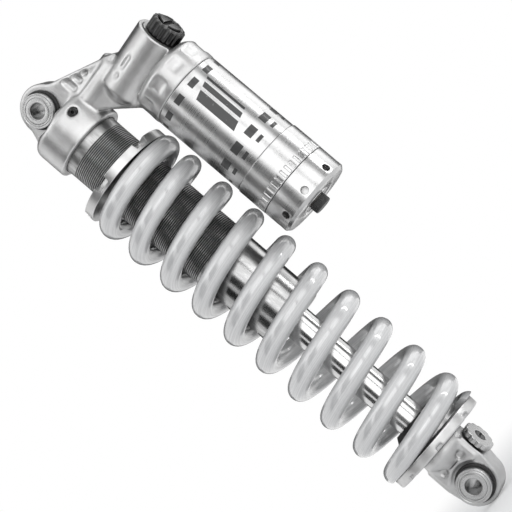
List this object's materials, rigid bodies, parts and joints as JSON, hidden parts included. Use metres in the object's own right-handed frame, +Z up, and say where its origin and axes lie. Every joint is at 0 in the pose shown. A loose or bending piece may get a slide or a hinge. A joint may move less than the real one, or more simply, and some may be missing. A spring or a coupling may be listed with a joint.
{
  "type": "rear shock",
  "caption": "Coil-over rear shock for a bicycle with a piggyback reservoir, preload collar and damping adjusters",
  "frame": {"origin": "centre of the upper eyelet's bolt bore", "axes": "+Z up along the shock axis, the lower eyelet hangs below; +Y along both eyelet bores; +X towards the reservoir"},
  "size_m": [0.1015, 0.0572, 0.2907],
  "materials": {
    "forged_alloy": "satin, fine blasted",
    "collar_alloy": "turned, satin",
    "body_alloy": "hard anodised grey",
    "reservoir_alloy": "polished",
    "inner_alloy": "turned",
    "spring_coat": "gloss powder coat",
    "shaft_chrome": "polished",
    "steel": "ground",
    "spacer_alloy": "turned, bright",
    "bronze": "sintered",
    "rubber": "matt",
    "band_plastic": "matt",
    "dial_dark": "black anodised",
    "knob_alloy": "satin",
    "cap_plastic": "moulded"
  },
  "bodies": {
    "damper": {"head_casting": "forged_alloy", "upper_bush": "bronze", "upper_dust_seals": "rubber", "damper_body": "body_alloy", "body_oring": "rubber", "seal_head": "inner_alloy", "seal_head_oring": "rubber", "shaft_bush": "bronze", "shaft_seal": "rubber", "wiper_seal": "rubber", "top_out_bumper": "rubber", "reservoir_tube": "reservoir_alloy", "reservoir_oring": "rubber", "end_sleeve": "reservoir_alloy", "compression_cartridge": "inner_alloy", "cartridge_oring": "rubber", "high_speed_shims": "steel", "bleed_screw": "dial_dark", "coil_spring": "spring_coat"},
    "upper_hardware": {"upper_pin": "steel", "upper_spacers": "spacer_alloy"},
    "collar_slider": {"collar_oring": "rubber"},
    "collar": {"preload_collar": "collar_alloy"},
    "spring_carriage": {"lower_spring_seat": "collar_alloy", "bump_stop": "rubber"},
    "shaft_unit": {"shaft": "shaft_chrome", "main_piston": "inner_alloy", "piston_band": "band_plastic", "compression_shims": "steel", "rebound_shims": "steel", "piston_nut": "steel", "shaft_eyelet": "forged_alloy", "lower_bush": "bronze", "lower_dust_seals": "rubber"},
    "rebound_dial": {"rebound_knob": "knob_alloy", "rebound_knob_screw": "dial_dark"},
    "rebound_needle": {"rebound_rod": "steel"},
    "lower_hardware": {"lower_pin": "steel", "lower_spacers": "spacer_alloy"},
    "floating": {"floating_piston": "inner_alloy", "floating_piston_oring": "rubber"},
    "bottom_out": {"bottom_out_dial": "reservoir_alloy", "air_valve": "bronze"},
    "bottom_out_slider": {"bottom_out_piston": "inner_alloy", "bottom_out_oring": "rubber"},
    "valve_core": {"valve_pin": "steel"},
    "dust_cap": {"valve_cap": "cap_plastic"},
    "high_speed": {"high_speed_dial": "dial_dark"},
    "high_speed_slider": {"high_speed_sleeve": "inner_alloy"},
    "low_speed": {"low_speed_knob": "dial_dark"},
    "low_speed_slider": {"low_speed_needle": "steel"}
  },
  "joints": [
    {"name": "upper_pin_turn", "type": "hinge", "parent": "damper", "child": "upper_hardware", "pos_m": [0, 0, 0], "axis": [0, 1, 0], "continuous": true},
    {"name": "shaft_slide", "type": "slide", "parent": "damper", "child": "spring_carriage", "axis": [0, 0, 1], "range_m": [0, 0.07], "stiffness_N_per_m": 60000, "springref_m": -0.003, "deforming": ["coil_spring"]},
    {"name": "shaft_spin", "type": "hinge", "parent": "spring_carriage", "child": "shaft_unit", "pos_m": [0, 0, -0.2], "axis": [0, 0, 1], "continuous": true},
    {"name": "lower_pin_turn", "type": "hinge", "parent": "shaft_unit", "child": "lower_hardware", "pos_m": [0, 0, -0.2667], "axis": [0, 1, 0], "continuous": true},
    {"name": "preload_advance", "type": "slide", "parent": "damper", "child": "collar_slider", "axis": [0, 0, 1], "range_m": [0, 0.015]},
    {"name": "preload_turn", "type": "hinge", "parent": "collar_slider", "child": "collar", "pos_m": [0, 0, -0.05], "axis": [0, 0, 1], "range_deg": [0, 5400]},
    {"name": "rebound_turn", "type": "hinge", "parent": "shaft_unit", "child": "rebound_dial", "pos_m": [0.016, 0, -0.2543], "axis": [1, 0, 0], "range_deg": [0, 360]},
    {"name": "rebound_lift", "type": "slide", "parent": "shaft_unit", "child": "rebound_needle", "axis": [0, 0, 1], "range_m": [0, 0.0015]},
    {"name": "floating_slide", "type": "slide", "parent": "damper", "child": "floating", "axis": [0, 0, -1], "range_m": [0, 0.0167]},
    {"name": "bottom_out_turn", "type": "hinge", "parent": "damper", "child": "bottom_out", "pos_m": [0.0524, 0, -0.12], "axis": [0, 0, 1], "range_deg": [0, 1080]},
    {"name": "bottom_out_rise", "type": "slide", "parent": "damper", "child": "bottom_out_slider", "axis": [0, 0, 1], "range_m": [0, 0.0075]},
    {"name": "valve_press", "type": "slide", "parent": "bottom_out", "child": "valve_core", "axis": [0, 0, 1], "range_m": [0, 0.0015], "stiffness_N_per_m": 800},
    {"name": "cap_off", "type": "slide", "parent": "bottom_out", "child": "dust_cap", "axis": [0, 0, -1], "range_m": [0, 0.012]},
    {"name": "high_speed_turn", "type": "hinge", "parent": "damper", "child": "high_speed", "pos_m": [0.067, 0, -0.0263], "axis": [1, 0, 0], "range_deg": [0, 720]},
    {"name": "high_speed_press", "type": "slide", "parent": "damper", "child": "high_speed_slider", "axis": [-1, 0, 0], "range_m": [0, 0.002]},
    {"name": "low_speed_turn", "type": "hinge", "parent": "damper", "child": "low_speed", "pos_m": [0.067, 0, -0.0263], "axis": [1, 0, 0], "range_deg": [0, 540]},
    {"name": "low_speed_press", "type": "slide", "parent": "damper", "child": "low_speed_slider", "axis": [-1, 0, 0], "range_m": [0, 0.0015]}
  ],
  "couplings": [
    {"joint": "preload_advance", "follows": "preload_turn", "m_per_rad": 0.00015915},
    {"joint": "rebound_lift", "follows": "rebound_turn", "m_per_rad": 0.00023873},
    {"joint": "floating_slide", "follows": "shaft_slide", "ratio": 0.23728},
    {"joint": "bottom_out_rise", "follows": "bottom_out_turn", "m_per_rad": 0.00039789},
    {"joint": "high_speed_press", "follows": "high_speed_turn", "m_per_rad": 0.00015915},
    {"joint": "low_speed_press", "follows": "low_speed_turn", "m_per_rad": 0.00015915}
  ]
}
